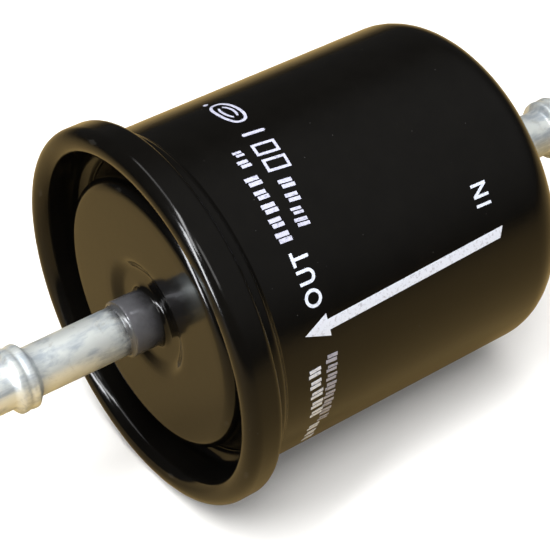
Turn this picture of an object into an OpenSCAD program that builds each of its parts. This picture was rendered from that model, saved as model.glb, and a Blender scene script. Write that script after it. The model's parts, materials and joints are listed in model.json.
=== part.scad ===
// In-line fuel filter: a drawn steel can with a rolled-on outlet cover, a beaded hose
// stub at each end and a spring-loaded pleated paper element inside.
// +X is the flow direction, from inlet to outlet. The origin is on the axis, in the
// middle of the can's length. Millimetres.

/* [Housing] */
// Outside diameter of the can
can_d = 56; // [54:0.5:60]
// Length from the inlet end face to the outlet rim
body_len = 65; // [60:1:90]
// Thickness of the steel sheet
sheet = 0.8; // [0.7:0.05:0.9]
// Outside corner radius of the drawn inlet end
shoulder_r = 7; // [6:0.5:9]

/* [Rolled seam] */
// Gap between the folded layers
seam_film = 0.04; // [0.02:0.01:0.06]
// Length of the folded seam along the axis
seam_len = 5.9; // [5.6:0.1:6.6]
// Width of the plain lip left between the seam and the can wall
lip_len = 1.7; // [1.2:0.1:2.2]

/* [End faces] */
// Depth of the cover's raised middle below the rim
plateau_depth = 2.4; // [2:0.1:3]
// Diameter of the cover's raised middle
plateau_d = 45.2; // [44:0.2:46]
// Depth of the channel below the rim
channel_depth = 8; // [7.5:0.1:8.5]
// Depth of the shallow dish round each pipe
dish_depth = 1; // [0.6:0.1:1.2]
// Diameter of the dish at its floor
dish_floor_d = 16; // [15:0.2:17]
// Diameter of the dish at its top
dish_top_d = 19.8; // [19:0.2:21]
// Length of the drawn neck round each pipe, from the dish floor
neck_len = 5.6; // [4:0.2:7]

/* [Hose stubs] */
// Outside diameter of the pipes
pipe_d = 8; // [7.9:0.1:8.2]
// Inside diameter of the pipes
pipe_bore_d = 6.2; // [5.6:0.1:6.4]
// Distance from an end face to the middle of the hose bead
bead_reach = 20.5; // [16:0.5:24]
// Outside diameter of the hose bead
bead_d = 10.4; // [9.6:0.1:10.8]
// Width of the hose bead
bead_w = 4; // [3:0.1:4.4]
// Distance from the middle of the bead to the pipe's tip
tip_reach = 8.5; // [7:0.5:12]
// Length of the outlet pipe that stands inside the cover, in the element's rubber ring
spigot_len = 6.3; // [5.5:0.1:7]

/* [Filter element] */
// Number of paper pleats
pleats = 40; // [24:1:42]
// Outside diameter of the paper pack
media_d = 48.4; // [46:0.2:49]
// Inside diameter of the paper pack
media_bore_d = 20.4; // [20:0.2:21]
// Thickness of the paper
paper = 0.4; // [0.3:0.05:0.4]
// Width of each pleat band
band_w = 4; // [3:0.5:6]
// Distance from the outlet seat inside the cover to the element's outlet cap
cap_standoff = 8.3; // [8:0.1:9]
// Distance the element can float back against its spring
float_travel = 2; // [1:0.1:2]

/* [Spring] */
// Diameter of the spring wire
wire_d = 1.4; // [1:0.1:1.4]
// Mean diameter of the coils
coil_d = 25; // [24.8:0.1:25.2]
// Number of turns, with the two closed ends
coil_turns = 4; // [3:0.5:4]

/* [Hidden] */

round_fn = 96;
black_paint = [0.05, 0.05, 0.05];
zinc = [0.74, 0.76, 0.76];
tinplate = [0.78, 0.76, 0.70];
eps = 0.01;

// Housing planes along X
rim_x = body_len / 2;
inlet_x = -body_len / 2;
can_r = can_d / 2;
plateau_x = rim_x - plateau_depth;
outlet_floor_x = plateau_x - dish_depth;
outlet_seat_x = outlet_floor_x - sheet;
inlet_floor_x = inlet_x + dish_depth;
inlet_inner_x = inlet_x + sheet;

// Seam layers, from the cover's inner wall outwards: chuck wall, can wall, cover hook,
// can hook, cover skirt
layer = sheet + seam_film;
can_seam_r = can_r + seam_film;
chuck_r = can_seam_r - layer;
skirt_r = chuck_r + 5 * layer - seam_film;
seam_mid_r = (chuck_r + skirt_r) / 2;
seam_top_ro = (skirt_r - chuck_r) / 2;
seam_top_x = rim_x - seam_top_ro;
fold_ri = seam_film + sheet / 2;
fold_ro = fold_ri + sheet;
hem_mid_r = skirt_r - fold_ro;
hem_x = rim_x - seam_len + fold_ro;
hook_clear = 0.5;
lip_x = rim_x - seam_len - lip_len;
flare_len = 1;

// Channel of the cover
plateau_r = plateau_d / 2;
plateau_edge_r = 2;
channel_ri = (chuck_r - plateau_r) / 2;
channel_mid_r = (chuck_r + plateau_r) / 2;
channel_mid_x = rim_x - channel_depth + channel_ri;

// Pipes and necks
pipe_r = pipe_d / 2;
bore_r = pipe_bore_d / 2;
neck_ri = pipe_r + 0.04;
neck_ro = neck_ri + 0.6;
neck_fillet = 1;
dish_floor_r = dish_floor_d / 2;
dish_top_r = dish_top_d / 2;
dish_lap = 1;
plate_hole_r = dish_top_r + dish_lap / 2;
braze_len = 0.9;
bead_h = bead_d / 2 - pipe_r;
bead_round_r = (bead_w * bead_w / 4 + bead_h * bead_h) / (2 * bead_h);
tip_chamfer = 0.4;
pipe_stand_in = 1.2;
spigot_x = outlet_seat_x - spigot_len;
inlet_end_x = inlet_floor_x + sheet + pipe_stand_in;

// Element planes along X
cap_sheet = 0.6;
potting = 1.5;
cap_r = media_d / 2 + 1.2;
cap_lip = 3;
edge_gap = 0.05;
coil_gap = 0.4;
spring_seat_x = inlet_inner_x + sheet;
element_out_x = outlet_seat_x - cap_standoff;
element_in_x = spring_seat_x + (coil_turns + 1) * wire_d + float_travel + coil_gap;
media_x0 = element_in_x + cap_sheet + potting;
media_x1 = element_out_x - cap_sheet - potting;
media_r = media_d / 2;
media_bore_r = media_bore_d / 2;
tube_r = media_bore_r - 0.6;
tube_wall = 0.5;
spring_boss_r = 10.6;
spring_boss_h = 0.8;
grommet_head = 2;
grommet_head_w = 1.4;
grommet_r = 7.4;
grommet_clear = 0.05;
neck_cap_len = cap_standoff - grommet_clear - grommet_head;
strainer_w = 1;
strainer_ring = 1.2;
strainer_x1 = media_x1 - 0.4;

// Spring sweep
spring_x0 = spring_seat_x + wire_d / 2 + edge_gap;
spring_x1 = element_in_x - wire_d / 2 - edge_gap;
spring_steps = 20;
spring_sides = 8;
even_pitch = 0.65;

// Profile helpers: first coordinate is the radius, second is the place along X
module turned() {
    rotate([0, 90, 0])
        rotate_extrude($fn = round_fn)
            children();
}

module strip(r0, r1, x0, x1) {
    translate([r0, x0])
        square([r1 - r0, x1 - x0]);
}

// Part of a bent sheet: the ring between two radii, kept on one side of its centre.
// side_r and side_x are -1 or 1; side_r = 0 keeps both sides.
module bend(mid_r, mid_x, ri, ro, side_r, side_x) {
    reach = 2 * ro;
    low_r = side_r > 0 ? 0 : -reach;
    wide = side_r == 0 ? 2 * reach : reach;
    intersection() {
        translate([mid_r, mid_x])
            difference() {
                circle(r = ro, $fn = round_fn);
                circle(r = ri, $fn = round_fn);
            }
        translate([mid_r + low_r, side_x > 0 ? mid_x : mid_x - reach])
            square([wide, reach]);
    }
}

// Solid of a drawn cup, closed at x0 with a rounded corner, open at x1
module cup_profile(r, corner, x0, x1) {
    strip(0, r, x0 + corner, x1);
    strip(0, r - corner, x0, x0 + corner);
    intersection() {
        translate([r - corner, x0 + corner])
            circle(r = corner, $fn = round_fn);
        translate([r - corner, x0 - corner])
            square([2 * corner, 2 * corner]);
    }
}

// Dish floor, dish slope and drawn neck round a pipe; side is 1 at the outlet end and -1
// at the inlet end, and the outline runs anticlockwise at both
module dish_and_neck(face_x, side) {
    floor_x = face_x - side * dish_depth;
    outline = [
        [neck_ri, floor_x - side * sheet],
        [dish_floor_r, floor_x - side * sheet],
        [dish_top_r, face_x - side * sheet],
        [dish_top_r + dish_lap, face_x - side * sheet],
        [dish_top_r + dish_lap, face_x],
        [dish_top_r, face_x],
        [dish_floor_r, floor_x],
        [neck_ro + neck_fillet, floor_x],
        [neck_ro, floor_x + side * neck_fillet],
        [neck_ro, floor_x + side * neck_len],
        [neck_ri, floor_x + side * neck_len]
    ];
    last = len(outline) - 1;
    polygon([for (i = [0:last]) outline[side > 0 ? i : last - i]]);
}

// Tube with a hose bead, a chamfered tip and a plain inner end
module pipe_profile(x_in, face_x) {
    bead_x = face_x + bead_reach;
    tip_x = bead_x + tip_reach;
    difference() {
        union() {
            strip(0, pipe_r, x_in, tip_x - tip_chamfer);
            polygon([
                [0, tip_x - tip_chamfer],
                [pipe_r, tip_x - tip_chamfer],
                [pipe_r - tip_chamfer, tip_x],
                [0, tip_x]
            ]);
            translate([bead_d / 2 - bead_round_r, bead_x])
                circle(r = bead_round_r, $fn = round_fn);
        }
        strip(-pipe_d, bore_r, x_in - 1, tip_x + 1);
    }
}

module braze_profile(face_x) {
    mouth_x = face_x - dish_depth + neck_len;
    polygon([[pipe_r, mouth_x], [neck_ro, mouth_x], [pipe_r, mouth_x + braze_len]]);
}

// Turned solids
module can() {
    color(black_paint)
        turned() {
            difference() {
                cup_profile(can_r, shoulder_r, inlet_x, lip_x - flare_len);
                cup_profile(can_r - sheet, shoulder_r - sheet, inlet_inner_x, rim_x);
                strip(-1, plate_hole_r, inlet_x - 1, inlet_inner_x + 1);
            }
            dish_and_neck(inlet_x, -1);
            polygon([
                [can_r - sheet, lip_x - flare_len],
                [can_r, lip_x - flare_len],
                [can_seam_r + sheet, lip_x],
                [can_seam_r, lip_x]
            ]);
            strip(can_seam_r, can_seam_r + sheet, lip_x, seam_top_x);
            bend(seam_mid_r, seam_top_x, fold_ri, fold_ro, 0, 1);
            strip(seam_mid_r + fold_ri, seam_mid_r + fold_ro, hem_x + hook_clear, seam_top_x);
        }
}

module outlet_cover() {
    color(black_paint)
        turned() {
            dish_and_neck(plateau_x, 1);
            strip(plate_hole_r, plateau_r - plateau_edge_r, plateau_x - sheet, plateau_x);
            bend(plateau_r - plateau_edge_r, plateau_x - plateau_edge_r,
                plateau_edge_r - sheet, plateau_edge_r, 1, 1);
            strip(plateau_r - sheet, plateau_r, channel_mid_x, plateau_x - plateau_edge_r);
            bend(channel_mid_r, channel_mid_x, channel_ri, channel_ri + sheet, 0, -1);
            strip(chuck_r, chuck_r + sheet, channel_mid_x, seam_top_x);
            bend(seam_mid_r, seam_top_x, seam_top_ro - sheet, seam_top_ro, 0, 1);
            strip(skirt_r - sheet, skirt_r, hem_x, seam_top_x);
            bend(hem_mid_r, hem_x, fold_ri, fold_ro, 0, -1);
            strip(hem_mid_r - fold_ro, hem_mid_r - fold_ri, hem_x, seam_top_x - hook_clear);
        }
}

// Fills the fold above the tip of the cover's hook
module seam_sealant() {
    fill_r = fold_ri - seam_film / 2;
    color([0.55, 0.16, 0.10])
        turned() {
            strip(seam_mid_r - fill_r, seam_mid_r + fill_r, seam_top_x - hook_clear + eps, seam_top_x);
            bend(seam_mid_r, seam_top_x, 0, fill_r, 0, 1);
        }
}

module outlet_pipe() {
    color(zinc)
        turned()
            pipe_profile(spigot_x, rim_x);
}

module inlet_pipe() {
    color(zinc)
        turned()
            mirror([0, 1])
                pipe_profile(-inlet_end_x, -inlet_x);
}

module outlet_braze() {
    color(black_paint)
        turned()
            braze_profile(plateau_x);
}

module inlet_braze() {
    color(black_paint)
        turned()
            mirror([0, 1])
                braze_profile(-inlet_x);
}

module spring_retainer() {
    inner_r = dish_top_r + 0.2;
    outer_r = coil_d / 2 + wire_d / 2 + sheet;
    lip_wall = 0.6;
    lip_h = 1.6;
    color(tinplate)
        turned() {
            strip(inner_r, outer_r, inlet_inner_x, spring_seat_x);
            strip(outer_r - lip_wall, outer_r, spring_seat_x - eps, spring_seat_x + lip_h);
        }
}

// Coil spring with closed ends, swept as a tube along a helix
function spring_climb(f) = f * f * f * (f * (f * 6 - 15) + 10);
function spring_ring(i, n) =
    let (
        f = i / n,
        turn = 360 * coil_turns * f,
        climb = (1 - even_pitch) * spring_climb(f) + even_pitch * f,
        mid_x = spring_x0 + (spring_x1 - spring_x0) * climb
    )
    [for (k = [0:spring_sides - 1])
        let (
            a = 360 * k / spring_sides,
            r = coil_d / 2 + wire_d / 2 * cos(a)
        )
        [mid_x + wire_d / 2 * sin(a), r * cos(turn), r * sin(turn)]
    ];

module element_spring() {
    n = coil_turns * spring_steps;
    points = [for (i = [0:n]) each spring_ring(i, n)];
    sides = [for (i = [0:n - 1]) for (k = [0:spring_sides - 1])
        [
            i * spring_sides + k,
            i * spring_sides + (k + 1) % spring_sides,
            (i + 1) * spring_sides + (k + 1) % spring_sides,
            (i + 1) * spring_sides + k
        ]
    ];
    start = [for (k = [0:spring_sides - 1]) spring_sides - 1 - k];
    finish = [for (k = [0:spring_sides - 1]) n * spring_sides + k];
    color([0.45, 0.46, 0.48])
        polyhedron(points, concat([start], sides, [finish]));
}

// Tinplate cap with a turned-in edge that holds the potting, drawn for the outlet end
module cap_profile(outer_x, inner_r) {
    strip(inner_r, cap_r, outer_x - cap_sheet, outer_x);
    strip(cap_r - cap_sheet, cap_r, outer_x - cap_lip, outer_x - cap_sheet + eps);
}

module inlet_end_cap() {
    color(tinplate)
        turned() {
            mirror([0, 1])
                cap_profile(-element_in_x, 0);
            strip(0, spring_boss_r, element_in_x - spring_boss_h, element_in_x + eps);
        }
}

module outlet_end_cap() {
    color(tinplate)
        turned() {
            cap_profile(element_out_x, grommet_r);
            strip(grommet_r, grommet_r + cap_sheet, element_out_x - eps, element_out_x + neck_cap_len);
        }
}

module inlet_adhesive() {
    color([0.30, 0.32, 0.30])
        turned()
            strip(0, cap_r - cap_sheet - edge_gap, element_in_x + cap_sheet, media_x0);
}

module outlet_adhesive() {
    color([0.30, 0.32, 0.30])
        turned()
            strip(grommet_r + 2.6, cap_r - cap_sheet - edge_gap, media_x1, element_out_x - cap_sheet);
}

function polar(r, a) = [r * cos(a), r * sin(a)];
// Angle covered by a width along the arc at a radius
function arc(w, r) = w / r * 180 / PI;

module paper_media() {
    step = 360 / pleats;
    tip_half = 0.55;
    valley_half = 0.1;
    dirty_side = [for (i = [0:pleats - 1])
        each [
            polar(media_r, i * step - arc(tip_half, media_r)),
            polar(media_r, i * step + arc(tip_half, media_r)),
            polar(media_bore_r + paper, (i + 0.5) * step - arc(valley_half, media_bore_r)),
            polar(media_bore_r + paper, (i + 0.5) * step + arc(valley_half, media_bore_r))
        ]
    ];
    clean_side = [for (i = [0:pleats - 1])
        each [
            polar(media_r - paper, i * step - arc(tip_half - paper, media_r)),
            polar(media_r - paper, i * step + arc(tip_half - paper, media_r)),
            polar(media_bore_r, (i + 0.5) * step - arc(valley_half + paper, media_bore_r)),
            polar(media_bore_r, (i + 0.5) * step + arc(valley_half + paper, media_bore_r))
        ]
    ];
    color([0.86, 0.78, 0.55])
        translate([media_x0, 0, 0])
            rotate([0, 90, 0])
                linear_extrude(media_x1 - media_x0)
                    difference() {
                        polygon(dirty_side);
                        polygon(clean_side);
                    }
}

// Folded strip that grips the outside of one pleat, on the seam of the paper pack
module media_clip() {
    inset = 0.3;
    gap_half = 0.6;
    wall = 0.35;
    depth = 4;
    length = media_x1 - media_x0 - 2 * inset;
    top_z = media_r + wall + edge_gap;
    color(tinplate)
        translate([media_x0 + inset, 0, 0])
            difference() {
                translate([0, -gap_half - wall, top_z - depth])
                    cube([length, 2 * (gap_half + wall), depth]);
                translate([-1, -gap_half, top_z - depth - 1])
                    cube([length + 2, 2 * gap_half, depth + 1 - wall]);
            }
}

// Thin band round the pleats with a notch that clears the clip
module pleat_band(mid_x) {
    band_ri = media_r + edge_gap;
    band = 0.35;
    notch_w = 2.8;
    color([0.80, 0.80, 0.76])
        difference() {
            turned()
                strip(band_ri, band_ri + band, mid_x - band_w / 2, mid_x + band_w / 2);
            translate([mid_x - band_w, -notch_w / 2, media_r - 1])
                cube([2 * band_w, notch_w, 4]);
        }
}

module inlet_pleat_band() {
    pleat_band(media_x0 + (media_x1 - media_x0) / 3);
}

module outlet_pleat_band() {
    pleat_band(media_x1 - (media_x1 - media_x0) / 3);
}

// Perforated tube inside the paper
module centre_tube() {
    rows = 6;
    holes = 8;
    hole_r = 1.6;
    x0 = media_x0;
    length = element_out_x - cap_sheet - x0;
    pitch = length / (rows + 1);
    color(tinplate)
        translate([x0, 0, 0])
            difference() {
                rotate([0, 90, 0])
                    cylinder(h = length, r = tube_r, $fn = round_fn);
                translate([-1, 0, 0])
                    rotate([0, 90, 0])
                        cylinder(h = length + 2, r = tube_r - tube_wall, $fn = round_fn);
                for (row = [1:rows], k = [0:holes - 1])
                    translate([row * pitch, 0, 0])
                        rotate([360 / holes * (k + 0.5 * (row % 2)), 0, 0])
                            translate([0, 0, tube_r - 2])
                                cylinder(h = 4, r = hole_r, $fn = 32);
            }
}

module seal_grommet() {
    bore = pipe_r + grommet_clear;
    head_x0 = element_out_x + neck_cap_len;
    color([0.09, 0.09, 0.10])
        turned() {
            strip(bore, grommet_r, element_out_x - cap_sheet, head_x0 + eps);
            strip(bore, grommet_r + grommet_head_w, head_x0, head_x0 + grommet_head);
        }
}

// Ring that holds the woven screen across the outlet end of the centre tube
module strainer_frame() {
    frame_r = tube_r - tube_wall;
    ring_w = strainer_ring;
    color([0.20, 0.22, 0.24])
        turned() {
            strip(frame_r - ring_w, frame_r, strainer_x1 - 2 * strainer_w, strainer_x1);
            strip(frame_r - 2 * ring_w, frame_r - ring_w / 2, strainer_x1 - strainer_w, strainer_x1);
            strip(frame_r - 2 * ring_w, frame_r - ring_w / 2,
                strainer_x1 - 2 * strainer_w, strainer_x1 - 1.5 * strainer_w);
        }
}

module strainer_mesh() {
    mesh_r = tube_r - tube_wall - strainer_ring;
    border = 0.9;
    bar = 0.3;
    pitch = 1.3;
    count = floor(mesh_r / pitch);
    color([0.85, 0.86, 0.84])
        translate([strainer_x1 - 1.5 * strainer_w, 0, 0])
            rotate([0, 90, 0])
                linear_extrude(0.5 * strainer_w)
                    union() {
                        difference() {
                            circle(r = mesh_r, $fn = round_fn);
                            circle(r = mesh_r - border, $fn = round_fn);
                        }
                        intersection() {
                            circle(r = mesh_r - border / 2, $fn = round_fn);
                            union()
                                for (i = [-count:count]) {
                                    translate([i * pitch - bar / 2, -mesh_r])
                                        square([bar, 2 * mesh_r]);
                                    translate([-mesh_r, i * pitch - bar / 2])
                                        square([2 * mesh_r, bar]);
                                }
                        }
                    }
}

can();
outlet_cover();
seam_sealant();
inlet_pipe();
outlet_pipe();
inlet_braze();
outlet_braze();
spring_retainer();
element_spring();
inlet_end_cap();
inlet_adhesive();
paper_media();
media_clip();
inlet_pleat_band();
outlet_pleat_band();
centre_tube();
outlet_adhesive();
outlet_end_cap();
seal_grommet();
strainer_frame();
strainer_mesh();
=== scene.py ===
"""Looks for the in-line fuel filter: a gloss black can with a rolled rim, a zinc-plated
hose stub at each end, white marks on the can, and the parts inside it."""
import json
import math

import bpy
from mathutils import Matrix, Vector


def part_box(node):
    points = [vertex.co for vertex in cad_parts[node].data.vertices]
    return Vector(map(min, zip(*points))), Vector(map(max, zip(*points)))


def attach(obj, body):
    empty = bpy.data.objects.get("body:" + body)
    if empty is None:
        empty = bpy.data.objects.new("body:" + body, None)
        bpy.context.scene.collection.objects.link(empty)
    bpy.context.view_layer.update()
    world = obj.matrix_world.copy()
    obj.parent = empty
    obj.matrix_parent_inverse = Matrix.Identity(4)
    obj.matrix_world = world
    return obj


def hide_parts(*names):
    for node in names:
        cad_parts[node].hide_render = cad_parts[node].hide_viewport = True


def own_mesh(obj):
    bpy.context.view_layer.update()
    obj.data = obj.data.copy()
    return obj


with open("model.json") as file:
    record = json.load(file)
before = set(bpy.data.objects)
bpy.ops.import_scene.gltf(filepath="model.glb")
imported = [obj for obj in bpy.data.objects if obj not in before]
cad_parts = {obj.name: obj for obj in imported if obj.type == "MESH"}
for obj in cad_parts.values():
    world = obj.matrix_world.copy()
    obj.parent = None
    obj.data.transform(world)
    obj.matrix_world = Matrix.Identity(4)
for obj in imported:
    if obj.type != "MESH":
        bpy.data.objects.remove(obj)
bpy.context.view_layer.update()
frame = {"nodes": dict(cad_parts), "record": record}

MM = 0.001


# ---------------------------------------------------------------- sizes taken from the frame
def box_mm(node):
    """Lowest and highest corner of a node, in millimetres."""
    low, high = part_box(node)
    return [v / MM for v in low], [v / MM for v in high]


cover_high = box_mm("outlet_cover")[1]
can_low = box_mm("can")[0]
out_low, out_high = box_mm("outlet_pipe")
in_high = box_mm("inlet_pipe")[1]
spring_low, spring_high = box_mm("element_spring")
mounts = {m["name"]: m for m in frame["record"]["mounts"]}
CAN_R = mounts["clamp_seat"]["dims"]["r_mm"]
PIPE_R = mounts["outlet_stub"]["dims"]["r_mm"]
BORE_R = 3.1
BEAD_R = out_high[1]
RIM_R = cover_high[1]
SHEET = 0.8                      # sheet of the can and the cover
FILM = 0.04                      # gap between the layers of the seam
NECK_MID_R = PIPE_R + 0.34       # middle of the neck's wall
NECK_T = 0.6
NECK_HIGH = 5.6                  # from the dish floor to the neck's mouth
DISH_DEPTH = 1.0
RIM_PROUD = 2.4                  # rim above the raised middle
CHANNEL_DEPTH = 8.0              # from the rim to the channel's floor
SEAM_HIGH = 5.9
LIP_RUN = 1.7                    # from the can wall out to the seam
BEAD_REACH = 20.5                # from the rim to the bead's crest
BEAD_HALF = 2.4
BEAD_GROOVE = 0.13
NECK_TOP = cover_high[0]
FLOOR_X = NECK_TOP - NECK_HIGH
FACE_X = FLOOR_X + DISH_DEPTH
RIM_X = FACE_X + RIM_PROUD
END_X = -RIM_X
TIP_X = out_high[0]
BEAD_X = RIM_X + BEAD_REACH
DISH_FLOOR_R = 8.0
DISH_TOP_R = 9.9
PLATEAU_R = 22.6
CHUCK_R = CAN_R - SHEET
ARCH_R = (RIM_R - CHUCK_R) / 2
ARCH_X = RIM_X - ARCH_R
HEM_RO = FILM + 1.5 * SHEET
HEM_X = RIM_X - SEAM_HIGH + HEM_RO
LIP_X = RIM_X - SEAM_HIGH - LIP_RUN
SHOULDER_R = 7.0
NECK_FADE = 4.6                  # length over which the paint thins up the neck
NECK_SKIN = (5.2, 5.9)           # radii between which the thin paint ends
MIST = 1.8                       # half length of the paint's soft edge on the pipes
MIST_PAST_NECK = 1.6


# ---------------------------------------------------------------- mesh helpers
def new_object(name, verts, faces, smooth=True):
    """Mesh object from millimetre points."""
    mesh = bpy.data.meshes.new(name)
    mesh.from_pydata([[c * MM for c in v] for v in verts], [], faces)
    mesh.validate()
    mesh.update()
    if smooth:
        mesh.polygons.foreach_set("use_smooth", [True] * len(mesh.polygons))
    obj = bpy.data.objects.new(name, mesh)
    bpy.context.scene.collection.objects.link(obj)
    return obj


def rounded(points, per_quarter=8):
    """Polyline through (r, x, bend radius) points, with an arc at each bend."""
    out = []
    for i, point in enumerate(points):
        here = Vector(point[:2])
        bend = point[2] if len(point) > 2 else 0
        if bend == 0 or i == 0 or i == len(points) - 1:
            out.append(here)
            continue
        before = (Vector(points[i - 1][:2]) - here).normalized()
        after = (Vector(points[i + 1][:2]) - here).normalized()
        angle = before.angle(after)
        reach = bend / math.tan(angle / 2)
        centre = here + (before + after).normalized() * (bend / math.sin(angle / 2))
        start = here + before * reach - centre
        turn = math.pi - angle
        side = before.x * after.y - before.y * after.x
        steps = max(2, int(per_quarter * turn / (math.pi / 2)) + 1)
        for k in range(steps + 1):
            a = turn * k / steps * (1 if side < 0 else -1)
            c, s = math.cos(a), math.sin(a)
            out.append(centre + Vector((start.x * c - start.y * s, start.x * s + start.y * c)))
    return out


def split_long(line, longest):
    """Adds points on long straight runs, so that the lathed quads stay compact."""
    out = [line[0]]
    for a, b in zip(line, line[1:]):
        n = max(1, math.ceil((b - a).length / longest))
        out.extend(a + (b - a) * k / n for k in range(1, n + 1))
    return out


def sheet_loop(centre_line, thickness, end_round=0.12):
    """Closed outline of bent sheet metal along its centre line, with eased cut edges."""
    n = len(centre_line)
    left, right = [], []
    for i, p in enumerate(centre_line):
        a = centre_line[max(0, i - 1)]
        b = centre_line[min(n - 1, i + 1)]
        d = (b - a).normalized()
        normal = Vector((-d.y, d.x))
        half = thickness(p) / 2
        if i in (0, n - 1):
            back = d * end_round * (1 if i == 0 else -1)
            rim = [(half - end_round, 0), (half - end_round * 0.3, 0.3), (half, 1)]
            if i == 0:
                left.extend(p + normal * h + back * s for h, s in rim)
                right.extend(p - normal * h + back * s for h, s in rim)
            else:
                left.extend(p + normal * h + back * s for h, s in reversed(rim))
                right.extend(p - normal * h + back * s for h, s in reversed(rim))
        else:
            left.append(p + normal * half)
            right.append(p - normal * half)
    return left + right[::-1]


def lathe(name, loop, segments=192, wobble=None):
    """Turns a closed (r, x) outline round the X axis."""
    n = len(loop)
    verts, faces = [], []
    for k in range(segments):
        a = 2 * math.pi * k / segments
        c, s = math.cos(a), math.sin(a)
        for p in loop:
            r, x = p[0], p[1]
            if wobble:
                r, x = wobble(r, x, a)
            verts.append((x, r * c, r * s))
    for k in range(segments):
        k2 = (k + 1) % segments
        for i in range(n):
            j = (i + 1) % n
            faces.append((k * n + i, k * n + j, k2 * n + j, k2 * n + i))
    obj = new_object(name, verts, faces)
    if sum(p.center.dot(p.normal) * p.area for p in obj.data.polygons) < 0:
        obj.data.flip_normals()
    return obj


# ---------------------------------------------------------------- material helpers
class Nodes:
    """Short hand for a procedural node material on the Principled shader."""

    def __init__(self, name):
        self.mat = bpy.data.materials.new(name)
        self.mat.use_nodes = True
        self.tree = self.mat.node_tree
        self.shader = self.tree.nodes["Principled BSDF"]
        coords = self.tree.nodes.new("ShaderNodeTexCoord")
        scale = self.tree.nodes.new("ShaderNodeVectorMath")
        scale.operation = "SCALE"
        scale.inputs["Scale"].default_value = 1000.0
        self.tree.links.new(coords.outputs["Object"], scale.inputs[0])
        self.mm = scale.outputs[0]

    def put(self, socket, value):
        """Links a node's output to a socket, or sets the socket's own value."""
        if isinstance(value, bpy.types.NodeSocket):
            self.tree.links.new(value, socket)
        else:
            socket.default_value = value

    def set(self, **values):
        """Feeds the shader's inputs by name."""
        for key, value in values.items():
            self.put(self.shader.inputs[key.replace("_", " ")], value)
        return self

    def noise(self, scale, detail=4.0, rough=0.55, stretch=None, distort=0.0):
        node = self.tree.nodes.new("ShaderNodeTexNoise")
        self.put(node.inputs["Vector"], self.stretched(stretch) if stretch else self.mm)
        node.inputs["Scale"].default_value = scale
        node.inputs["Detail"].default_value = detail
        node.inputs["Roughness"].default_value = rough
        node.inputs["Distortion"].default_value = distort
        return node.outputs["Fac"]

    def stretched(self, by):
        """Millimetre coordinates scaled along each axis; a low scale draws the pattern out."""
        node = self.tree.nodes.new("ShaderNodeMapping")
        self.put(node.inputs["Vector"], self.mm)
        node.inputs["Scale"].default_value = by
        return node.outputs["Vector"]

    def cells(self, scale):
        node = self.tree.nodes.new("ShaderNodeTexVoronoi")
        self.put(node.inputs["Vector"], self.mm)
        node.inputs["Scale"].default_value = scale
        return node.outputs["Distance"]

    def ramp(self, value, stops):
        node = self.tree.nodes.new("ShaderNodeValToRGB")
        node.color_ramp.interpolation = "EASE"
        while len(node.color_ramp.elements) < len(stops):
            node.color_ramp.elements.new(0.5)
        for element, (at, colour) in zip(node.color_ramp.elements, stops):
            element.position = at
            if not hasattr(colour, "__len__"):
                colour = (colour, colour, colour)
            element.color = (*colour, 1.0)
        self.put(node.inputs["Fac"], value)
        return node.outputs["Color"]

    def math(self, op, a, b=0.0):
        node = self.tree.nodes.new("ShaderNodeMath")
        node.operation = op
        self.put(node.inputs[0], a)
        self.put(node.inputs[1], b)
        return node.outputs[0]

    def spread(self, value, low, high, to_low, to_high):
        """Maps one range to another, clamped."""
        node = self.tree.nodes.new("ShaderNodeMapRange")
        self.put(node.inputs["Value"], value)
        for key, v in (("From Min", low), ("From Max", high), ("To Min", to_low), ("To Max", to_high)):
            node.inputs[key].default_value = v
        return node.outputs["Result"]

    def mix(self, fac, a, b):
        """Colour mix; sockets 0, 6, 7 and output 2 are the factor, the two colours and the result."""
        node = self.tree.nodes.new("ShaderNodeMix")
        node.data_type = "RGBA"
        self.put(node.inputs[0], fac)
        for socket, v in ((node.inputs[6], a), (node.inputs[7], b)):
            self.put(socket, (*v, 1.0) if isinstance(v, tuple) and len(v) == 3 else v)
        return node.outputs[2]

    def axis(self, which):
        node = self.tree.nodes.new("ShaderNodeSeparateXYZ")
        self.put(node.inputs[0], self.mm)
        return node.outputs[which]

    def distance(self, first, second):
        """Distance from the axis that is square to the two named ones."""
        a, b = self.axis(first), self.axis(second)
        return self.math("SQRT", self.math("ADD", self.math("MULTIPLY", a, a), self.math("MULTIPLY", b, b)))

    def edges(self):
        """Above a half on outside edges, below it in corners."""
        return self.tree.nodes.new("ShaderNodeNewGeometry").outputs["Pointiness"]

    def bump(self, height, depth_mm, over=None):
        node = self.tree.nodes.new("ShaderNodeBump")
        node.inputs["Strength"].default_value = 1.0
        node.inputs["Distance"].default_value = depth_mm * MM
        self.put(node.inputs["Height"], height)
        if over is not None:
            self.put(node.inputs["Normal"], over)
        return node.outputs["Normal"]


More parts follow.
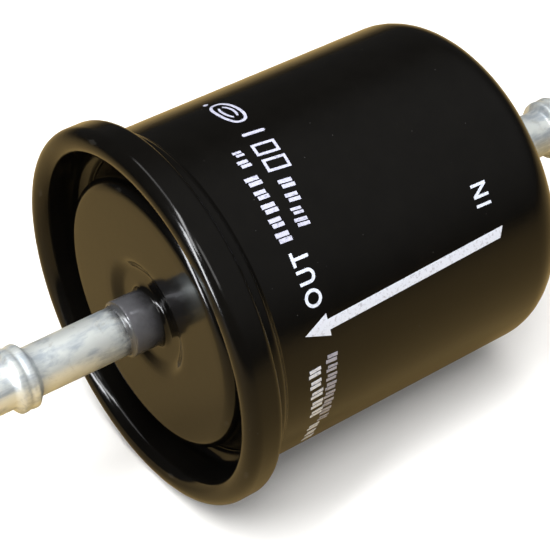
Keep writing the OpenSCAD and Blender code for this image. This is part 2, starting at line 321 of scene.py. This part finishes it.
def black_paint(name, neck_from):
    """Gloss black; thinner over the bright steel of the drawn necks."""
    n = Nodes(name)
    mottle = n.noise(0.22, 5, 0.6)
    fine = n.noise(1.6, 3, 0.5)
    dust = n.ramp(n.cells(0.55), [(0.0, 1.0), (0.06, 0.0)])
    dust = n.math("MULTIPLY", dust, n.ramp(n.noise(0.35, 2), [(0.5, 0.0), (0.62, 1.0)]))
    base = n.mix(mottle, (0.0018, 0.0016, 0.0013), (0.0038, 0.0034, 0.0028))
    base = n.mix(n.math("MULTIPLY", dust, 0.5), base, (0.10, 0.10, 0.095))
    uneven_edge = n.math("ADD", n.edges(), n.spread(fine, 0, 1, -0.03, 0.03))
    worn = n.ramp(uneven_edge, [(0.575, 0.0), (0.64, 1.0)])
    base = n.mix(n.math("MULTIPLY", worn, 0.25), base, (0.05, 0.047, 0.042))
    rough = n.spread(mottle, 0.25, 0.75, 0.10, 0.17)
    rough = n.math("ADD", rough, n.math("MULTIPLY", dust, 0.3))
    peel = n.bump(n.noise(0.75, 2, 0.4), 0.010)
    normal = n.bump(n.noise(5.0, 2, 0.5), 0.0012, over=peel)
    far = n.math("ABSOLUTE", n.axis("X"))
    up_the_neck = n.spread(far, neck_from, neck_from + NECK_FADE, 0.0, 1.0)
    near_the_pipe = n.spread(n.distance("Y", "Z"), *NECK_SKIN, 1.0, 0.0)
    thin = n.math("MULTIPLY", up_the_neck, near_the_pipe)
    thin = n.math("MULTIPLY", thin, n.spread(n.noise(0.5, 4, 0.6), 0.3, 0.7, 0.45, 1.0))
    base = n.mix(thin, base, (0.20, 0.20, 0.215))
    rough = n.math("ADD", rough, n.math("MULTIPLY", thin, 0.08))
    metal = n.math("MULTIPLY", thin, 0.70)
    n.set(Base_Color=base, Roughness=rough, Normal=normal, IOR=1.32, Metallic=metal)
    return n.mat


def zinc(name, side, paint_edge):
    """Zinc plate with drawn streaks and dull patches; a mist of black next to the neck."""
    n = Nodes(name)
    blotch = n.noise(0.42, 4, 0.55, stretch=(0.45, 1.0, 1.0), distort=0.3)
    drawn = n.noise(1.5, 4, 0.6, stretch=(0.16, 1.0, 1.0))
    base = n.mix(n.ramp(blotch, [(0.36, 0.0), (0.60, 1.0)]), (0.40, 0.45, 0.49), (0.71, 0.75, 0.73))
    base = n.mix(n.ramp(drawn, [(0.42, 0.0), (0.62, 0.35)]), base, (0.72, 0.75, 0.75))
    stain = n.ramp(n.noise(0.5, 6, 0.7), [(0.56, 0.0), (0.70, 1.0)])
    base = n.mix(n.math("MULTIPLY", stain, 0.35), base, (0.36, 0.35, 0.30))
    where = n.math("MULTIPLY", n.axis("X"), side)
    ragged = n.math("ADD", where, n.spread(n.noise(0.7, 5, 0.65), 0.2, 0.8, -0.9, 0.9))
    past_the_edge = n.spread(ragged, paint_edge - MIST, paint_edge + MIST, 0.0, 1.0)
    paint = n.ramp(past_the_edge, [(0.20, 0.93), (0.85, 0.0)])
    base = n.mix(paint, base, (0.045, 0.044, 0.046))
    rough = n.spread(blotch, 0.3, 0.7, 0.46, 0.34)
    rough = n.mix(paint, rough, (0.26, 0.26, 0.26))
    metal = n.math("SUBTRACT", 0.62, n.math("MULTIPLY", paint, 0.30))
    normal = n.bump(drawn, 0.006)
    normal = n.bump(n.noise(1.3, 4, 0.6), 0.008, over=normal)
    n.set(Base_Color=base, Roughness=rough, Metallic=metal, Normal=normal)
    return n.mat


def ink(name, worn, fresh):
    """White print, thin in places."""
    n = Nodes(name)
    thin = n.ramp(n.noise(1.9, 5, 0.7), [(0.30, 0.0), (0.50, 1.0)])
    base = n.mix(thin, worn, fresh)
    n.set(Base_Color=base, Roughness=n.spread(thin, 0, 1, 0.55, 0.38), Normal=n.bump(n.noise(6, 3), 0.004))
    return n.mat


def metal_sheet(name, colour, dark, rough):
    """Bare metal with dull patches and a fine grain."""
    n = Nodes(name)
    grain = n.noise(1.4, 4, 0.6)
    patch = n.noise(0.18, 4, 0.6)
    base = n.mix(n.ramp(patch, [(0.35, 0.0), (0.65, 1.0)]), dark, colour)
    n.set(Base_Color=base, Metallic=1.0, Roughness=n.spread(grain, 0.2, 0.8, rough * 0.7, rough * 1.3),
          Normal=n.bump(grain, 0.006))
    return n.mat


def soft_plastic(name, colour, dark, rough, depth=0.01, scale=2.0):
    """Rubber, resin, felt and moulded plastic: one cloudy grain in colour, gloss and height."""
    n = Nodes(name)
    patch = n.noise(scale, 5, 0.6)
    base = n.mix(patch, dark, colour)
    n.set(Base_Color=base, Roughness=n.spread(patch, 0.2, 0.8, rough * 0.8, rough * 1.2),
          Normal=n.bump(patch, depth))
    return n.mat


def paper(name):
    """Resin-treated filter paper with fibres along the pleats."""
    n = Nodes(name)
    fibre = n.noise(3.0, 6, 0.75, stretch=(0.4, 1, 1))
    cloud = n.noise(0.3, 4, 0.6)
    base = n.mix(fibre, (0.62, 0.47, 0.22), (0.86, 0.74, 0.47))
    base = n.mix(n.math("MULTIPLY", cloud, 0.35), base, (0.55, 0.40, 0.18))
    n.set(Base_Color=base, Roughness=n.spread(fibre, 0.2, 0.8, 0.75, 0.95), Normal=n.bump(fibre, 0.03))
    return n.mat


PAINT = black_paint("gloss_black_paint", FLOOR_X + 0.6)
ZINC_OUT = zinc("zinc_plate_outlet", 1.0, NECK_TOP + MIST_PAST_NECK)
ZINC_IN = zinc("zinc_plate_inlet", -1.0, -can_low[0] + MIST_PAST_NECK)
INK = ink("white_print", (0.34, 0.36, 0.44), (0.60, 0.65, 0.76))
THIN_INK = ink("softer_white_print", (0.17, 0.17, 0.24), (0.44, 0.45, 0.56))
FAINT_INK = ink("thin_white_print", (0.10, 0.10, 0.14), (0.30, 0.31, 0.39))
TIN = metal_sheet("tinplate", (0.72, 0.70, 0.66), (0.55, 0.53, 0.49), 0.30)
SPRING = metal_sheet("spring_wire", (0.36, 0.36, 0.37), (0.20, 0.20, 0.21), 0.32)
POTTING = soft_plastic("potting", (0.20, 0.25, 0.20), (0.11, 0.15, 0.12), 0.5, 0.03, 0.8)
SEALANT = soft_plastic("seam_compound", (0.45, 0.12, 0.07), (0.30, 0.07, 0.04), 0.6)
RUBBER = soft_plastic("nitrile_rubber", (0.030, 0.030, 0.032), (0.016, 0.016, 0.018), 0.62, 0.012, 1.2)
BAND = soft_plastic("pleat_band", (0.80, 0.80, 0.76), (0.62, 0.62, 0.56), 0.85, 0.04, 3.0)
FRAME = soft_plastic("strainer_frame", (0.10, 0.12, 0.14), (0.06, 0.07, 0.09), 0.4, 0.008, 1.5)
SCREEN = soft_plastic("strainer_screen", (0.82, 0.83, 0.80), (0.66, 0.67, 0.62), 0.55, 0.01, 2.5)
PAPER = paper("filter_paper")


def dress(obj, material):
    """Gives an object one material in every slot."""
    if obj.data.materials:
        for i in range(len(obj.data.materials)):
            obj.data.materials[i] = material
    else:
        obj.data.materials.append(material)
    return obj


def housing_piece(obj, material, slot, *nodes):
    dress(obj, material)
    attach(obj, "housing")
    if nodes:
        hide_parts(*nodes)
    return obj


# ---------------------------------------------------------------- can and cover
NECK_BEND = 1.4
DISH_BEND = 2.4
FACE_BEND = 1.6
LIP_BEND = 0.8
LIP_LEAD = 1.0                   # where the can starts to widen, before the lip
HOOK_GAP = 0.5                   # clearance at the two cut edges inside the seam
NECK_THINS_OVER = 0.9
FULL = 0.001                     # keeps a full half turn just inside its two corners


def sheet_thickness(p):
    """The necks are drawn thinner than the rest of the sheet."""
    t = min(1.0, max(0.0, (p.x - NECK_MID_R - 0.2) / NECK_THINS_OVER))
    return NECK_T + (SHEET - NECK_T) * t


def end_line(floor, face, top):
    """Centre line of a neck, dish and flat, from the neck's mouth outwards."""
    return [(NECK_MID_R, top), (NECK_MID_R, floor, NECK_BEND),
            (DISH_FLOOR_R, floor, DISH_BEND), (DISH_TOP_R, face, DISH_BEND)]


half = SHEET / 2
arch_c = ARCH_R - half
hem_c = HEM_RO - half
top_c = RIM_X - half
channel_c = (CHUCK_R - PLATEAU_R) / 2 + half
channel_floor = RIM_X - CHANNEL_DEPTH - half
cover_line = end_line(FLOOR_X - half, FACE_X - half, NECK_TOP) + [
    (PLATEAU_R - half, FACE_X - half, FACE_BEND),
    (PLATEAU_R - half, channel_floor, channel_c - FULL),
    (CHUCK_R + half, channel_floor, channel_c - FULL),
    (CHUCK_R + half, top_c, arch_c - FULL),
    (RIM_R - half, top_c, arch_c - FULL),
    (RIM_R - half, HEM_X - hem_c, hem_c - FULL),
    (RIM_R - half - 2 * hem_c, HEM_X - hem_c, hem_c - FULL),
    (RIM_R - half - 2 * hem_c, ARCH_X - HOOK_GAP),
]
cover_loop = sheet_loop(split_long(rounded(cover_line, 12), 1.5), sheet_thickness)
housing_piece(lathe("outlet_cover_shell", cover_loop), PAINT, "black_paint", "outlet_cover")

seam_wall = CAN_R + FILM + half
fold_c = FILM + SHEET / 2 + half
can_line = end_line(END_X + DISH_DEPTH + half, END_X + half, -NECK_TOP) + [
    (CAN_R - half, END_X + half, SHOULDER_R - half),
    (CAN_R - half, LIP_X - LIP_LEAD, LIP_BEND),
    (seam_wall, LIP_X, LIP_BEND),
    (seam_wall, ARCH_X + fold_c, fold_c - FULL),
    (seam_wall + 2 * fold_c, ARCH_X + fold_c, fold_c - FULL),
    (seam_wall + 2 * fold_c, HEM_X + HOOK_GAP),
]
can_loop = sheet_loop(split_long(rounded(can_line, 12), 2.5), sheet_thickness)
housing_piece(lathe("can_shell", can_loop), PAINT, "black_paint", "can")


# ---------------------------------------------------------------- hose stubs and brazes
EDGE = 0.1                       # broken edge at the pipe's inner end
TIP_ROUND = 0.4
TIP_TAPER = 0.06
BORE_ROUND = 0.25
BEAD_FLANK = 0.52                # share of the bead's half length taken by its flank
GROOVE_HALF = 0.16
BEAD_STEPS = 26
PIPE_SEGMENTS = 128
SLACK = 0.05                     # how far the braze reaches into the pipe's wall
BRAZE_LEG = 0.62
BRAZE_RUN = 0.18                 # share of the fillet's length that its edge wanders


def stub(name, inner_x, side, material, node):
    """Drawn tube with a hose bead that has a flat, slightly grooved crest."""
    line = [Vector(p) for p in (
        (BORE_R, inner_x + EDGE), (BORE_R + EDGE, inner_x), (PIPE_R - EDGE, inner_x),
        (PIPE_R, inner_x + EDGE), (PIPE_R, BEAD_X - BEAD_HALF))]
    for k in range(1, BEAD_STEPS):
        t = -1 + 2 * k / BEAD_STEPS
        flank = min(1.0, (1 - abs(t)) / BEAD_FLANK)
        swell = flank * flank * (3 - 2 * flank) - BEAD_GROOVE * math.exp(-(t / GROOVE_HALF) ** 2)
        line.append(Vector((PIPE_R + (BEAD_R - PIPE_R) * swell, BEAD_X + BEAD_HALF * t)))
    line.append(Vector((PIPE_R, BEAD_X + BEAD_HALF)))
    tip = [(PIPE_R, BEAD_X + BEAD_HALF + 0.5), (PIPE_R - TIP_TAPER, TIP_X, TIP_ROUND),
           (BORE_R, TIP_X, BORE_ROUND), (BORE_R, inner_x + 0.3)]
    line += rounded(tip, 8)[:-1]
    line.append(Vector((BORE_R, inner_x + 0.4)))
    loop = [Vector((p.x, side * p.y)) for p in split_long(line, 1.5)]

    def wobble(r, x, a):
        """Keeps the outside a little under size and not quite round."""
        shift = 0.02 * math.sin(2 * a + 0.08 * x) + 0.015 * math.sin(3 * a + 0.21 * x + 1.0)
        return (r + (shift - 0.035 if r > PIPE_R - 0.3 else 0.0), x)

    return housing_piece(lathe(name, loop, PIPE_SEGMENTS, wobble), material, "zinc_plate", node)


stub("outlet_stub", out_low[0], 1.0, ZINC_OUT, "outlet_pipe")
stub("inlet_stub", -in_high[0], -1.0, ZINC_IN, "inlet_pipe")


def braze(name, side, material, node):
    """Small run-out fillet of braze between the neck's mouth and the pipe."""
    mouth = NECK_TOP
    low, high = box_mm(node)
    reach = high[0] - mouth if side > 0 else -mouth - low[0]
    loop = [Vector((PIPE_R - SLACK, mouth)), Vector((PIPE_R + BRAZE_LEG, mouth))]
    for k in range(1, 9):
        a = k / 9 * math.pi / 2
        r = PIPE_R + BRAZE_LEG - BRAZE_LEG * math.sin(a)
        loop.append(Vector((r, mouth + reach * (1 - math.cos(a)) * 0.96)))
    loop.append(Vector((PIPE_R - SLACK, mouth + reach * 0.98)))

    def wobble(r, x, a):
        """Lets the fillet run out unevenly round the pipe."""
        run = 0.5 + 0.25 * math.sin(3 * a + 0.7) + 0.25 * math.sin(7 * a)
        return (r, x - (x - mouth) * BRAZE_RUN * run)

    obj = lathe(name, loop, PIPE_SEGMENTS, wobble)
    if side < 0:
        obj.data.transform(Matrix.Scale(-1, 4, (1, 0, 0)))
        obj.data.flip_normals()
    return housing_piece(obj, material, "black_paint", node)


braze("outlet_braze_bead", 1.0, ZINC_OUT, "outlet_braze")
braze("inlet_braze_bead", -1.0, ZINC_IN, "inlet_braze")


# ---------------------------------------------------------------- print on the can
INK_LIFT = 0.03
INK_SINK = 0.02
FILM_STEP = 0.5


def clipped(poly, bound, keep_above):
    """Part of a convex (x, arc) outline above or below one arc length."""
    out = []
    for a, b in zip(poly, poly[1:] + poly[:1]):
        a_in = a[1] >= bound if keep_above else a[1] <= bound
        b_in = b[1] >= bound if keep_above else b[1] <= bound
        if a_in:
            out.append(a)
        if a_in != b_in:
            t = (bound - a[1]) / (b[1] - a[1])
            out.append((a[0] + (b[0] - a[0]) * t, bound))
    return out


def ink_piece(name, shapes, material=INK):
    """Convex outlines in (x, arc) millimetres, laid round the can as one thin closed film."""
    index, points, tops = {}, [], []

    def vertex(p):
        """Number of the film's point at a place, made once."""
        key = (round(p[0], 4), round(p[1], 4))
        if key not in index:
            index[key] = len(points)
            points.append(key)
        return index[key]

    for shape in shapes:
        low, high = min(p[1] for p in shape), max(p[1] for p in shape)
        area = sum(a[0] * b[1] - b[0] * a[1] for a, b in zip(shape, shape[1:] + shape[:1]))
        if area < 0:
            shape = shape[::-1]
        for k in range(math.floor(low / FILM_STEP), math.ceil(high / FILM_STEP)):
            part = clipped(clipped(shape, k * FILM_STEP, True), (k + 1) * FILM_STEP, False)
            ring_ids = []
            for p in part:
                v = vertex(p)
                if v not in ring_ids:
                    ring_ids.append(v)
            if len(ring_ids) >= 3:
                tops.append(ring_ids)
    n = len(points)
    verts = []
    for r in (CAN_R - INK_SINK, CAN_R + INK_LIFT):
        for x, s in points:
            verts.append((x, r * math.cos(s / CAN_R), r * math.sin(s / CAN_R)))
    faces, used = [], {}
    for ids in tops:
        faces.append([n + i for i in ids])
        faces.append(ids[::-1])
        for a, b in zip(ids, ids[1:] + ids[:1]):
            used[(a, b)] = True
    for a, b in used:
        if (b, a) not in used:
            faces.append([a, b, n + b, n + a])
    return housing_piece(new_object(name, verts, faces, smooth=False), material, None)


def row_at(x, phi, x_end, phi_end):
    """Frame of a row of marks, and its length: u runs from the first place to the second, v towards +X."""
    start = Vector((x, math.radians(phi) * CAN_R))
    end = Vector((x_end, math.radians(phi_end) * CAN_R))
    along = (end - start).normalized()
    up = Vector((along.y, -along.x))
    if up.x < 0:
        up = -up

    def place(u, v):
        p = start + along * u + up * v
        return (p.x, p.y)

    return place, (end - start).length


def bar(row, u0, u1, v0, v1):
    """Plain rectangle."""
    return [row(u0, v0), row(u1, v0), row(u1, v1), row(u0, v1)]


def block(row, u, v, wide, tall, corner=0.35):
    """Filled mark with cut corners."""
    w, h = wide / 2, tall / 2
    c = min(corner, w * 0.8, h * 0.8)
    corners = ((-w + c, -h), (w - c, -h), (w, -h + c), (w, h - c),
               (w - c, h), (-w + c, h), (-w, h - c), (-w, -h + c))
    return [row(u + a, v + b) for a, b in corners]


def ring(row, cu, cv, ru, rv, w, power=2.0, steps=32, spans=((0, 360),)):
    """Open or closed ring as a chain of quads, from a super-ellipse; spans are in degrees."""
    quads = []

    def at(a, k):
        c, s = math.cos(a), math.sin(a)
        u = math.copysign(abs(c) ** (2 / power), c) * (ru - k)
        v = math.copysign(abs(s) ** (2 / power), s) * (rv - k)
        return row(cu + u, cv + v)

    for i in range(steps):
        a0, a1 = 2 * math.pi * i / steps, 2 * math.pi * (i + 1) / steps
        if any(lo <= math.degrees((a0 + a1) / 2) <= hi for lo, hi in spans):
            quads.append([at(a0, 0), at(a1, 0), at(a1, w), at(a0, w)])
    return quads


def arrow():
    """Flow arrow, with its tail cut square to the axis."""
    row, length = row_at(-18.3, 22.6, 19.4, 20.2)
    shaft, head, wide = 0.85, 4.3, 1.85
    neck = length - head
    return ink_piece("print_flow_arrow", [
        [row(-0.5, shaft), row(0.4, -shaft), row(neck, -shaft), row(neck, shaft)],
        [row(neck, -wide), row(length, 0), row(neck, wide)],
    ])


def word_out():
    """Generic word for the outlet end."""
    row, _ = row_at(16.5, 27.0, 16.2, 46.0)
    tall, w = 2.9, 0.50
    lo, hi = -tall / 2, tall / 2
    bend = lo + 1.1
    shapes = ring(row, 1.6, 0, 1.42, hi, w)
    shapes += [bar(row, u, u + w, bend, hi) for u in (3.8, 5.6)]
    shapes += ring(row, 4.95, bend, 1.15, 1.1, w, spans=((180, 360),))
    shapes += [bar(row, 6.7, 8.9, hi - w, hi), bar(row, 7.55, 7.55 + w, lo, hi - w)]
    return ink_piece("print_word_out", shapes)


def word_in():
    """Generic word for the inlet end."""
    row, _ = row_at(-16.5, 31.4, -16.7, 43.0)
    tall, w = 2.8, 0.46
    lo, hi = -tall / 2, tall / 2
    shapes = [bar(row, u, u + w, lo, hi) for u in (0.7, 2.1, 3.9)]
    shapes.append([row(2.1 + w, hi), row(2.1 + w, hi - 0.8), row(3.9, lo), row(3.9, lo + 0.8)])
    return ink_piece("print_word_in", shapes)


def ticks(row, u, v, wide, tall, count):
    """Plain upright strokes side by side, in place of one printed sign."""
    pitch = wide / count
    stroke = pitch - 0.2
    steps = (0.0, 0.16, -0.1, 0.06)
    shapes = []
    for k in range(count):
        low = v - tall / 2 + steps[k % 4]
        high = v + tall / 2 - steps[(k + 1) % 4]
        shapes.append(bar(row, u + k * pitch, u + k * pitch + stroke, low, high))
    return shapes


def outline_box(row, u, v, wide, tall, w):
    """Plain upright box drawn as an outline."""
    top, low = v + tall / 2, v - tall / 2
    return [bar(row, u, u + w, low, top), bar(row, u + wide - w, u + wide, low, top),
            bar(row, u + w, u + wide - w, low, low + w), bar(row, u + w, u + wide - w, top - w, top)]


def code_row():
    """Small strokes, two plain boxes and a bar for the code; a ring, two arcs and a dot for the badge."""
    row, _ = row_at(13.2, 50.6, 10.9, 88.0)
    shapes = []
    for u, wide, tall, v in ((0.2, 1.5, 2.2, 0.1), (2.1, 1.3, 1.8, 0.2),
                             (4.1, 1.6, 2.1, -0.1), (6.4, 1.7, 2.3, -0.2)):
        shapes += ticks(row, u, v, wide, tall, 2)
    for u, v in ((9.6, -0.35), (12.8, -0.2)):
        shapes += outline_box(row, u, v, 2.4, 3.9, 0.46)
    shapes.append(block(row, 17.6, -0.1, 0.62, 3.8, 0.2))
    badge, _ = row_at(10.5, 92.0, 10.7, 112.0)
    shapes += ring(badge, 4.2, 0, 3.9, 1.9, 0.50, 2.3, 48)
    shapes += ring(badge, 4.2, 0, 2.3, 1.0, 0.40, 2.0, 48, ((20, 160), (200, 340)))
    shapes.append(block(badge, 9.4, 0.6, 0.8, 0.8, 0.25))
    return ink_piece("print_code_row", shapes, THIN_INK)


def stroke_row(name, place, marks, material):
    """Row of plain double strokes in place of small print: each mark is (start, width, height, lift)."""
    row, _ = row_at(*place)
    shapes = []
    for u, wide, tall, v in marks:
        shapes += ticks(row, u, v, wide, tall, 2)
    return ink_piece(name, shapes, material)


arrow()
word_out()
word_in()
code_row()
stroke_row("print_block_row", (17.1, 48.6, 16.3, 72.0), [
    (0.1, 1.8, 2.3, 0.0), (2.5, 1.7, 2.1, 0.1), (4.8, 1.8, 2.3, 0.0), (7.2, 1.7, 2.0, 0.1),
    (9.6, 1.8, 2.3, 0.1), (13.0, 1.6, 1.8, -0.3), (15.2, 1.3, 1.5, -0.5)], THIN_INK)
stroke_row("print_lower_row_a", (15.4, 10.6, 16.4, -20.0), [
    (0.0, 1.6, 2.0, 0.0), (1.9, 1.3, 1.9, 0.0), (3.5, 1.4, 1.9, 0.0), (5.2, 1.6, 1.9, 0.0),
    (7.1, 1.4, 1.9, 0.0), (8.8, 1.6, 1.9, 0.0), (10.8, 1.5, 1.9, 0.0), (12.7, 1.2, 1.9, 0.0)], FAINT_INK)
stroke_row("print_lower_row_b", (18.7, 8.2, 17.2, -34.0), [
    (0.0, 1.6, 2.2, 0.0), (2.2, 1.6, 2.0, 0.1), (4.4, 1.5, 2.2, 0.0), (6.6, 1.6, 2.1, 0.0),
    (8.8, 1.5, 2.2, 0.0), (13.0, 1.5, 2.0, 0.0), (15.2, 1.4, 1.8, 0.1), (17.4, 1.4, 2.0, 0.0)], INK)


# ---------------------------------------------------------------- spring and inner pieces
def spring():
    """Compression spring whose end turns lie closer together than its middle ones."""
    wire, even = 1.4, 0.65
    mean = spring_high[1] - wire / 2
    x0, x1 = spring_low[0] + wire / 2, spring_high[0] - wire / 2
    turns, steps, sides = 4, 60, 16
    total = turns * steps
    verts, faces = [], []
    for i in range(total + 1):
        f = i / total
        climb = f ** 3 * (f * (f * 6 - 15) + 10)
        mid = x0 + (x1 - x0) * ((1 - even) * climb + even * f)
        a = 2 * math.pi * turns * f
        for k in range(sides):
            b = 2 * math.pi * k / sides
            r = mean + wire / 2 * math.cos(b)
            verts.append((mid + wire / 2 * math.sin(b), r * math.cos(a), r * math.sin(a)))
    for i in range(total):
        for k in range(sides):
            k2 = (k + 1) % sides
            faces.append((i * sides + k, i * sides + k2, (i + 1) * sides + k2, (i + 1) * sides + k))
    faces.append(tuple(reversed(range(sides))))
    faces.append(tuple(total * sides + k for k in range(sides)))
    obj = new_object("element_spring_wire", verts, faces)
    return housing_piece(obj, SPRING, "spring_steel", "element_spring")


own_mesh(spring())

INSIDE = {
    "seam_sealant": SEALANT, "spring_retainer": TIN, "inlet_end_cap": TIN, "outlet_end_cap": TIN,
    "inlet_adhesive": POTTING, "outlet_adhesive": POTTING, "paper_media": PAPER, "media_clip": TIN,
    "inlet_pleat_band": BAND, "outlet_pleat_band": BAND, "centre_tube": TIN, "seal_grommet": RUBBER,
    "strainer_frame": FRAME, "strainer_mesh": SCREEN,
}
for node, material in INSIDE.items():
    dress(frame["nodes"][node], material)


# ---------------------------------------------------------------- floor, light, camera
STAGE_HALF = 1500.0
STAGE_CELLS = 24
BENCH_DROP = 0.2                 # bench top below the pale floor
GLOW_RUN = (200.0, 650.0)        # distances over which the floor starts to glow
PAINTED_SHADE_RUN = (110.0, 420.0)       # distances over which painted shade darkens the bench top, a painted fall-off of light away from the filter
PALE = ((0.92, 0.91, 0.89), (0.95, 0.94, 0.92))
TAN = ((0.43, 0.29, 0.10), (0.47, 0.325, 0.125))
# painted shade: the dark tan that the bench top fades to away from the filter
TAN_PAINTED_SHADE = (0.05, 0.035, 0.015)


def table(name, lift, colours, glow=0.0, shade=0.0):
    """Plane that touches the rim and the far shoulder. Away from the filter it can glow, or darken with
    painted shade.
    """
    slope = (RIM_R - CAN_R) / (HEM_X - (END_X + SHOULDER_R))
    drop = CAN_R - slope * (END_X + SHOULDER_R)
    count = STAGE_CELLS + 1
    marks = [-STAGE_HALF + 2 * STAGE_HALF * i / STAGE_CELLS for i in range(count)]
    verts = [(x, y, lift - (drop + slope * x)) for x in marks for y in marks]
    corners = [i * count + j for i in range(STAGE_CELLS) for j in range(STAGE_CELLS)]
    obj = new_object(name, verts, [(k, k + count, k + count + 1, k + 1) for k in corners])
    n = Nodes(name + "_finish")
    away = n.distance("X", "Y")
    base = n.mix(n.noise(0.02, 3), *colours)
    # painted shade: the bench top darkens with distance from the filter, as if lamplight fell off, and the
    # gloss reflects this
    if shade:
        base = n.mix(n.spread(away, *PAINTED_SHADE_RUN, 0.0, shade), base, TAN_PAINTED_SHADE)
    n.set(Base_Color=base, Roughness=0.85)
    if glow:
        n.set(Emission_Color=base, Emission_Strength=n.spread(away, *GLOW_RUN, 0.0, glow))
    dress(obj, n.mat)
    return obj


def floor():
    """Pale floor that the camera sees, and the tan bench top under it that lights the filter from below."""
    pale = table("floor", 0.0, PALE, glow=1.0)
    pale.visible_glossy = False
    pale.visible_diffuse = False
    pale.visible_transmission = False
    pale.visible_shadow = False
    # the bench top carries painted shade, darker away from the filter
    bench = table("bench_top", -BENCH_DROP, TAN, shade=0.75)
    bench.visible_camera = False


LAMP_TARGET = (0.02, 0.0, 0.0)
WARM = (1.0, 0.99, 0.98)
COOL = (0.98, 0.99, 1.0)
WINDOW = (0.95, 0.97, 1.0)
SKY_AIM = (-0.40, 0.35, 0.85)    # towards the brightest part of the sky
SKY_LOW = 0.05
SKY_HIGH = 0.33


def panel(name, place, along, size, power, colour):
    """Area lamp at a place, facing the filter, with its long side along a direction."""
    data = bpy.data.lights.new(name, "AREA")
    data.shape = "RECTANGLE"
    data.size, data.size_y = size
    data.energy = power
    data.color = colour
    obj = bpy.data.objects.new(name, data)
    obj.location = place
    away = (Vector(place) - Vector(LAMP_TARGET)).normalized()
    side = Vector(along)
    side = (side - away * side.dot(away)).normalized()
    obj.rotation_mode = "QUATERNION"
    obj.rotation_quaternion = Matrix((side, away.cross(side), away)).transposed().to_quaternion()
    obj.visible_camera = False
    bpy.context.scene.collection.objects.link(obj)
    return obj


def dome():
    """Soft grey sky for light and gloss, white where the camera looks past the floor."""
    world = bpy.data.worlds.new("studio")
    bpy.context.scene.world = world
    world.use_nodes = True
    tree = world.node_tree
    path = tree.nodes.new("ShaderNodeLightPath")
    coords = tree.nodes.new("ShaderNodeTexCoord")
    aim = tree.nodes.new("ShaderNodeVectorMath")
    aim.operation = "DOT_PRODUCT"
    aim.inputs[1].default_value = SKY_AIM
    tree.links.new(coords.outputs["Generated"], aim.inputs[0])
    glow = tree.nodes.new("ShaderNodeMapRange")
    glow.interpolation_type = "SMOOTHSTEP"
    for key, v in (("From Min", 0.45), ("From Max", 1.0), ("To Min", SKY_LOW), ("To Max", SKY_HIGH)):
        glow.inputs[key].default_value = v
    tree.links.new(aim.outputs["Value"], glow.inputs["Value"])
    mix = tree.nodes.new("ShaderNodeMix")
    mix.data_type = "RGBA"
    mix.inputs[7].default_value = (1.0, 1.0, 1.0, 1.0)
    tree.links.new(path.outputs["Is Camera Ray"], mix.inputs[0])
    tree.links.new(glow.outputs["Result"], mix.inputs[6])
    tree.links.new(mix.outputs[2], tree.nodes["Background"].inputs["Color"])


def lamps():
    """Two large fills that leave no mirror image, and the strips that show in the paint."""
    fill = panel("soft_fill", (0.10, 0.05, 0.70), (1, 0, 0), (0.9, 0.9), 8.5, WARM)
    fill.visible_glossy = False
    front = panel("soft_front", (0.32, 0.50, 0.28), (-0.50, 0.32, 0), (0.55, 0.55), 1.3, WARM)
    front.visible_glossy = False
    panel("strip_left", (0.075, -0.15, 0.50), (0.11, 0.40, 0), (0.42, 0.08), 0.35, WARM)
    panel("strip_top", (0.30, 0.08, 0.50), (0.39, 0.15, 0), (0.42, 0.07), 1.9, COOL)
    window = panel("strip_low", (0.555, 0.039, 0.225), (0, 0, 1), (0.50, 0.075), 5.2, WINDOW)
    window.visible_diffuse = False
    panel("lamp_high", (0.176, 0.31, 0.48), (0, 0.80, -0.58), (0.26, 0.14), 0.55, WARM)


floor()
dome()
lamps()


CAMERA_AZIMUTH = 143.81
CAMERA_ELEVATION = 40.71
CAMERA_PLACE = (0.14145, 0.18568, 0.19417)
CAMERA_LENS = 123.73


def camera():
    """Camera at the photograph's angle, level, with no shift."""
    azimuth, elevation = math.radians(CAMERA_AZIMUTH), math.radians(CAMERA_ELEVATION)
    ca, sa = math.cos(azimuth), math.sin(azimuth)
    ce, se = math.cos(elevation), math.sin(elevation)
    right = Vector((ca, sa, 0))
    back = Vector((sa * ce, -ca * ce, se))
    up = back.cross(right)
    data = bpy.data.cameras.new("camera")
    data.lens = CAMERA_LENS
    data.sensor_width = 36.0
    data.clip_start, data.clip_end = 0.01, 20.0
    obj = bpy.data.objects.new("camera", data)
    obj.rotation_mode = "QUATERNION"
    obj.rotation_quaternion = Matrix((right, up, back)).transposed().to_quaternion()
    obj.location = CAMERA_PLACE
    bpy.context.scene.collection.objects.link(obj)
    bpy.context.scene.camera = obj


camera()
bpy.context.scene.view_settings.view_transform = "Standard"
